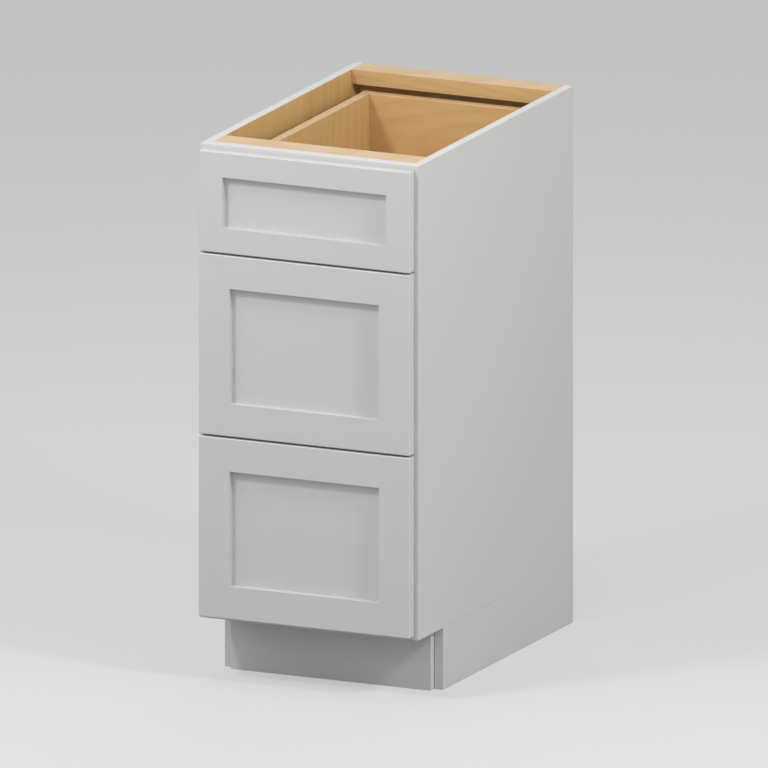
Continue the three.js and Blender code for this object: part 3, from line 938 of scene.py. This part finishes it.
def on_points(given, part, seed=None):
    """Stands the part on each point, its Z along the point's facing, turned by chance."""
    tree = part.tree
    kind = "GeometryNodeInputNamedAttribute"
    facing = add(tree, kind, {"Name": "facing"}, data_type="FLOAT_VECTOR")[0]
    rotation = add(tree, "FunctionNodeAlignRotationToVector", {"Vector": facing}, axis="Z")[0]
    if seed:
        rotation = spun(rotation, chance(seed) * math.tau, "LOCAL")
    return placed(given["Geometry"], part, rotation)


def screw_tree():
    """Washer-head screws with a cross recess."""
    tree, given = geometry_group("Cross-recess screws", {
        "Head width": 0.01, "Head rise": 0.002, "Turn seed": 1,
    })
    width, rise = given["Head width"], given["Head rise"]

    def cone(bottom, top, depth):
        return add(tree, "GeometryNodeMeshCone", {
            "Vertices": 28, "Radius Bottom": width * bottom, "Radius Top": width * top,
            "Depth": rise * depth,
        })["Mesh"]

    def boolean(operation, sockets):
        settings = {"operation": operation, "solver": "EXACT"}
        return add(tree, "GeometryNodeMeshBoolean", sockets, **settings)[0]

    flange = cone(0.5, 0.46, 0.3)
    pan = moved(cone(0.36, 0.24, 0.9), vector_of(0.0, 0.0, rise * 0.1))
    slot_long, slot_wide = width * 0.34, width * 0.075
    top = vector_of(0.0, 0.0, rise)
    blades = [
        moved(cube(x, y, rise), top)
        for x, y in ((slot_long, slot_wide), (slot_wide, slot_long))
    ]
    whole = boolean("UNION", {"Mesh 2": [flange, pan]})
    head = boolean("DIFFERENCE", {"Mesh 1": whole, "Mesh 2": blades})
    return end_in_finish(given, on_points(given, head, given["Turn seed"]))


def pad_tree():
    """Low domed pads."""
    tree, given = geometry_group("Bumper pads", {"Pad width": 0.0095, "Pad rise": 0.00028})
    width = given["Pad width"]
    dome = add(tree, "GeometryNodeMeshCone", {
        "Vertices": 24, "Side Segments": 2, "Radius Bottom": width * 0.5,
        "Radius Top": width * 0.4, "Depth": given["Pad rise"],
    })
    return end_in_finish(given, on_points(given, dome["Mesh"]))


def staple_tree():
    """Staples driven along an upright rectangle that faces Y, one at each pitch."""
    tree, given = geometry_group("Staples round a panel", {
        "Width": 0.36, "Height": 0.74, "Pitch": 0.07, "Crown": 0.011, "Wire": 0.0011,
        "Proud": 0.0003, "Stray angle": 0.2, "Stray seed": 4, "Place": VECTOR,
    })
    line = rectangle(given["Width"], given["Height"])
    points = add(tree, "GeometryNodeResampleCurve", {
        0: line, "Length": given["Pitch"],
    }, mode="LENGTH")
    tangent = add(tree, "GeometryNodeInputTangent")[0]
    along = add(tree, "FunctionNodeAlignRotationToVector", {"Vector": tangent}, axis="X")[0]
    stray = (chance(given["Stray seed"]) - 0.5) * given["Stray angle"]
    crown = cube(given["Crown"], given["Wire"], given["Proud"])
    staples = placed(points[0], crown, spun(along, stray, "GLOBAL"))
    return end_in_finish(given, moved(staples, given["Place"], UPRIGHT))


def grow(name, tree, points, finish, values):
    """A plain mesh object from a tree. points lists a place and a facing for each part."""
    seedbed = bpy.data.meshes.new(f"{name}_points")
    if points:
        seedbed.from_pydata([place for place, facing in points], [], [])
        attribute = seedbed.attributes.new("facing", "FLOAT_VECTOR", "POINT")
        for row, (place, facing) in zip(attribute.data, points):
            row.vector = facing
    grower = new_object(f"{name}_points", seedbed)
    modifier = grower.modifiers.new(tree.name, "NODES")
    modifier.node_group = tree
    sockets = {
        item.name: item.identifier for item in tree.interface.items_tree
        if item.item_type == "SOCKET" and item.in_out == "INPUT"
    }
    for key, value in {**values, "Finish": material(finish)}.items():
        modifier[sockets[key]] = value
    evaluated = grower.evaluated_get(bpy.context.evaluated_depsgraph_get())
    mesh = bpy.data.meshes.new_from_object(evaluated)
    mesh.name = name
    bpy.data.objects.remove(grower)
    bpy.data.meshes.remove(seedbed)
    if not mesh.polygons:
        raise RuntimeError(f"{tree.name} made nothing for {name}")
    return new_object(name, mesh)


FRONT_MEMBERS = ("stile_left", "stile_right", "top_rail", "bottom_rail")
RUNNER_GAUGE = 1.5 * MM
RUNNER_SCREW = Vector((0, 9.5 * MM, 10.65 * MM))  # from the lowest front corner of a member
BRACKET_THICKNESS = 2 * MM
BRACKET_HOLES = (0.25, 0.75)  # shares of its width
FRONT_SCREW_HEIGHTS = (0.4, 0.75)  # shares of the box front's height
RUNNER_SEED, FRONT_SEED = 3, 10


class CABINET_OT_screws(bpy.types.Operator):
    """Screws of the runners, their brackets and the drawer fronts"""

    bl_idname = "cabinet.screws"
    bl_label = "Screws"

    def execute(self, context):
        sizes = context.scene.cabinet_fasteners
        tree = screw_tree()
        runner_screws = grow("runner_screws", tree, self.runner_points(), "screw_steel", {
            "Head width": sizes.runner_head, "Head rise": sizes.runner_head_rise,
            "Turn seed": RUNNER_SEED,
        })
        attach(runner_screws, "root")
        for seed, drawer in enumerate(DRAWERS, FRONT_SEED):
            points = self.front_points(drawer, sizes.front_screw_inset)
            name = f"{drawer}_drawer_front_screws"
            front_screws = grow(name, tree, points, "screw_steel", {
                "Head width": sizes.washer_head, "Head rise": sizes.washer_head_rise,
                "Turn seed": seed,
            })
            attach(front_screws, f"{drawer}_drawer")
        return {"FINISHED"}

    def runner_points(self):
        points = []
        for drawer in DRAWERS:
            for hand, side in (("left", 1), ("right", -1)):
                lowest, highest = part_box(f"{drawer}_runner_cabinet_member_{hand}")
                outer = lowest.x if side == 1 else highest.x
                height = lowest.z + RUNNER_SCREW.z
                web = Vector((outer + side * RUNNER_GAUGE, lowest.y + RUNNER_SCREW.y, height))
                points.append((web, (side, 0, 0)))
                for share in BRACKET_HOLES:
                    across = outer + side * share * (highest.x - lowest.x)
                    plate = Vector((across, highest.y - BRACKET_THICKNESS, height))
                    points.append((plate, (0, -1, 0)))
        return points

    def front_points(self, drawer, inset):
        lowest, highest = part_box(f"{drawer}_drawer_box_front")
        return [
            (Vector((x, highest.y, lowest.z + share * (highest.z - lowest.z))), (0, 1, 0))
            for x in (lowest.x + inset, highest.x - inset)
            for share in FRONT_SCREW_HEIGHTS
        ]


class CABINET_OT_bumper_pads(bpy.types.Operator):
    """Clear pads on the back of each drawer front, where it meets the face frame"""

    bl_idname = "cabinet.bumper_pads"
    bl_label = "Bumper pads"

    def execute(self, context):
        sizes = context.scene.cabinet_fasteners
        tree = pad_tree()
        frame_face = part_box("face_frame")[0].y
        for drawer in DRAWERS:
            lowest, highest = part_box(f"{drawer}_drawer_front_stile_left")
            x = lowest.x + sizes.pad_inset
            heights = (lowest.z + sizes.pad_inset, highest.z - sizes.pad_inset)
            points = [
                (Vector((side * x, highest.y, z)), (0, 1, 0)) for side in (1, -1) for z in heights
            ]
            pads = grow(f"{drawer}_bumper_pads", tree, points, "clear_rubber", {
                "Pad width": sizes.pad_width, "Pad rise": 0.9 * (frame_face - highest.y),
            })
            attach(pads, f"{drawer}_drawer")
        return {"FINISHED"}


class CABINET_OT_staples(bpy.types.Operator):
    """Staples that hold the back panel in its rabbets"""

    bl_idname = "cabinet.staples"
    bl_label = "Staples"

    def execute(self, context):
        sizes = context.scene.cabinet_fasteners
        lowest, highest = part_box("back_panel")
        inset = highest.x - INNER_FACE
        staples = grow("back_staples", staple_tree(), None, "staple_steel", {
            "Width": highest.x - lowest.x - inset, "Height": highest.z - lowest.z - 3 * inset,
            "Pitch": sizes.staple_pitch, "Crown": sizes.staple_crown, "Wire": sizes.staple_wire,
            "Proud": 0.8 * BACK_SETBACK,
            "Place": (0, highest.y - 0.6 * BACK_SETBACK, (lowest.z + highest.z) / 2),
        })
        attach(staples, "root")
        return {"FINISHED"}


# ------------------------------------------------------------------------ studio

FLOOR_REACH = 12
WHITE = (1, 1, 1)
CAMERA_DISTANCE, CAMERA_REACH = 3, 60


def lamp(name, place, aim, size, power):
    """A square soft lamp at a place, turned to look at aim."""
    data = bpy.data.lights.new(name, "AREA")
    data.shape = "SQUARE"
    data.size = size
    data.energy = power
    stand = new_object(name, data)
    stand.location = place
    stand.rotation_euler = (Vector(place) - aim).to_track_quat("Z", "Y").to_euler()


def seen_or_reflected(tree):
    """1 for rays that show the background: the camera's own, and through gloss or glass."""
    path = add(tree, "ShaderNodeLightPath")
    shown = path["Is Camera Ray"].maths("MAXIMUM", path["Is Glossy Ray"])
    return shown.maths("MAXIMUM", path["Is Transmission Ray"])


class CABINET_OT_studio(bpy.types.Operator):
    """Pale floor, soft lamps and the camera"""

    bl_idname = "cabinet.studio"
    bl_label = "Studio"

    def execute(self, context):
        studio = context.scene.cabinet_studio
        self.make_floor(studio)
        self.make_world(context.scene, studio)
        self.make_lamps(studio)
        self.make_camera(context.scene, studio)
        context.scene.view_settings.view_transform = "Standard"
        return {"FINISHED"}

    def make_floor(self, studio):
        mesh = bpy.data.meshes.new("studio_floor")
        corners = ((-1, -1), (1, -1), (1, 1), (-1, 1))
        points = [(FLOOR_REACH * x, FLOOR_REACH * y, 0) for x, y in corners]
        mesh.from_pydata(points, [], [range(len(points))])
        floor = new_object("studio_floor", mesh)
        surface = bpy.data.materials.new("studio_floor")
        tree = bare_tree(surface)
        shown = seen_or_reflected(tree)
        shader = add(tree, "ShaderNodeBsdfPrincipled", {
            "Base Color": blended(shown, studio.floor_bounce, studio.floor),
            "Roughness": 0.9, "Specular IOR Level": 0.0,
            "Emission Color": WHITE, "Emission Strength": shown * studio.floor_evenness,
        })
        add(tree, "ShaderNodeOutputMaterial", {"Surface": shader[0]})
        mesh.materials.append(surface)

    def make_world(self, scene, studio):
        scene.world = bpy.data.worlds.new("studio_room")
        tree = bare_tree(scene.world)
        strength = add(tree, "ShaderNodeMapRange", {
            "Value": seen_or_reflected(tree), 3: studio.room_light, 4: studio.room_shine,
        })
        room = add(tree, "ShaderNodeBackground", {"Color": WHITE, "Strength": strength[0]})
        add(tree, "ShaderNodeOutputWorld", {"Surface": room[0]})

    def make_lamps(self, studio):
        aim = Vector((0, 0, studio.aim_height))
        for name, place, size, power in (
            ("key_lamp", (-0.97, -1.87, 2.58), 0.4, studio.key_power),
            ("side_lamp", (2.5, -0.85, 2.3), 0.4, studio.side_power),
            ("side_wash", (2.75, -0.39, 1.56), 2.2, studio.wash_power),
            ("front_wash", (0.5, -2.6, 1.7), 1.8, studio.front_power),
            ("left_wash", (-1.8, -1.2, 1.6), 1.6, studio.left_power),
            ("back_wash", (-0.4, 2.0, 2.6), 1.8, studio.back_power),
        ):
            lamp(name, place, aim, size, power)

    def make_camera(self, scene, studio):
        data = bpy.data.cameras.new("camera")
        data.type = "ORTHO"
        data.ortho_scale = studio.picture_width
        data.clip_end = CAMERA_REACH
        direction = Vector((
            math.sin(studio.azimuth) * math.cos(studio.elevation),
            -math.cos(studio.azimuth) * math.cos(studio.elevation),
            math.sin(studio.elevation),
        ))
        camera = new_object("camera", data)
        camera.location = Vector((0, 0, studio.aim_height)) + CAMERA_DISTANCE * direction
        camera.rotation_euler = direction.to_track_quat("Z", "Y").to_euler()
        scene.camera = camera


# ------------------------------------------------------------------------ add-on

OPERATORS = (
    CABINET_OT_carcass,
    CABINET_OT_plinth,
    CABINET_OT_face_frame,
    CABINET_OT_drawer_fronts,
    CABINET_OT_drawer_boxes,
    CABINET_OT_runners,
    CABINET_OT_screws,
    CABINET_OT_bumper_pads,
    CABINET_OT_staples,
    CABINET_OT_studio,
)


class CABINET_PT_sidebar(bpy.types.Panel):
    """Builds the cabinet's pieces one group at a time"""

    bl_idname = "CABINET_PT_sidebar"
    bl_label = "Base cabinet"
    bl_space_type = "VIEW_3D"
    bl_region_type = "UI"
    bl_category = "Cabinet"

    def draw(self, context):
        for operator in OPERATORS:
            self.layout.operator(operator.bl_idname)
        for name in SETTINGS:
            box = self.layout.box()
            settings = getattr(context.scene, name)
            for key in settings.bl_rna.properties.keys():
                if key not in ("name", "rna_type"):
                    box.prop(settings, key)


def register():
    for name, group in SETTINGS.items():
        bpy.utils.register_class(group)
        setattr(bpy.types.Scene, name, PointerProperty(type=group))
    for operator in OPERATORS:
        bpy.utils.register_class(operator)
    bpy.utils.register_class(CABINET_PT_sidebar)


def unregister():
    bpy.utils.unregister_class(CABINET_PT_sidebar)
    for operator in reversed(OPERATORS):
        bpy.utils.unregister_class(operator)
    for name, group in reversed(SETTINGS.items()):
        delattr(bpy.types.Scene, name)
        bpy.utils.unregister_class(group)


def main():
    register()
    for operator in OPERATORS:
        group, name = operator.bl_idname.split(".")
        getattr(getattr(bpy.ops, group), name)()


if __name__ == "__main__":
    main()
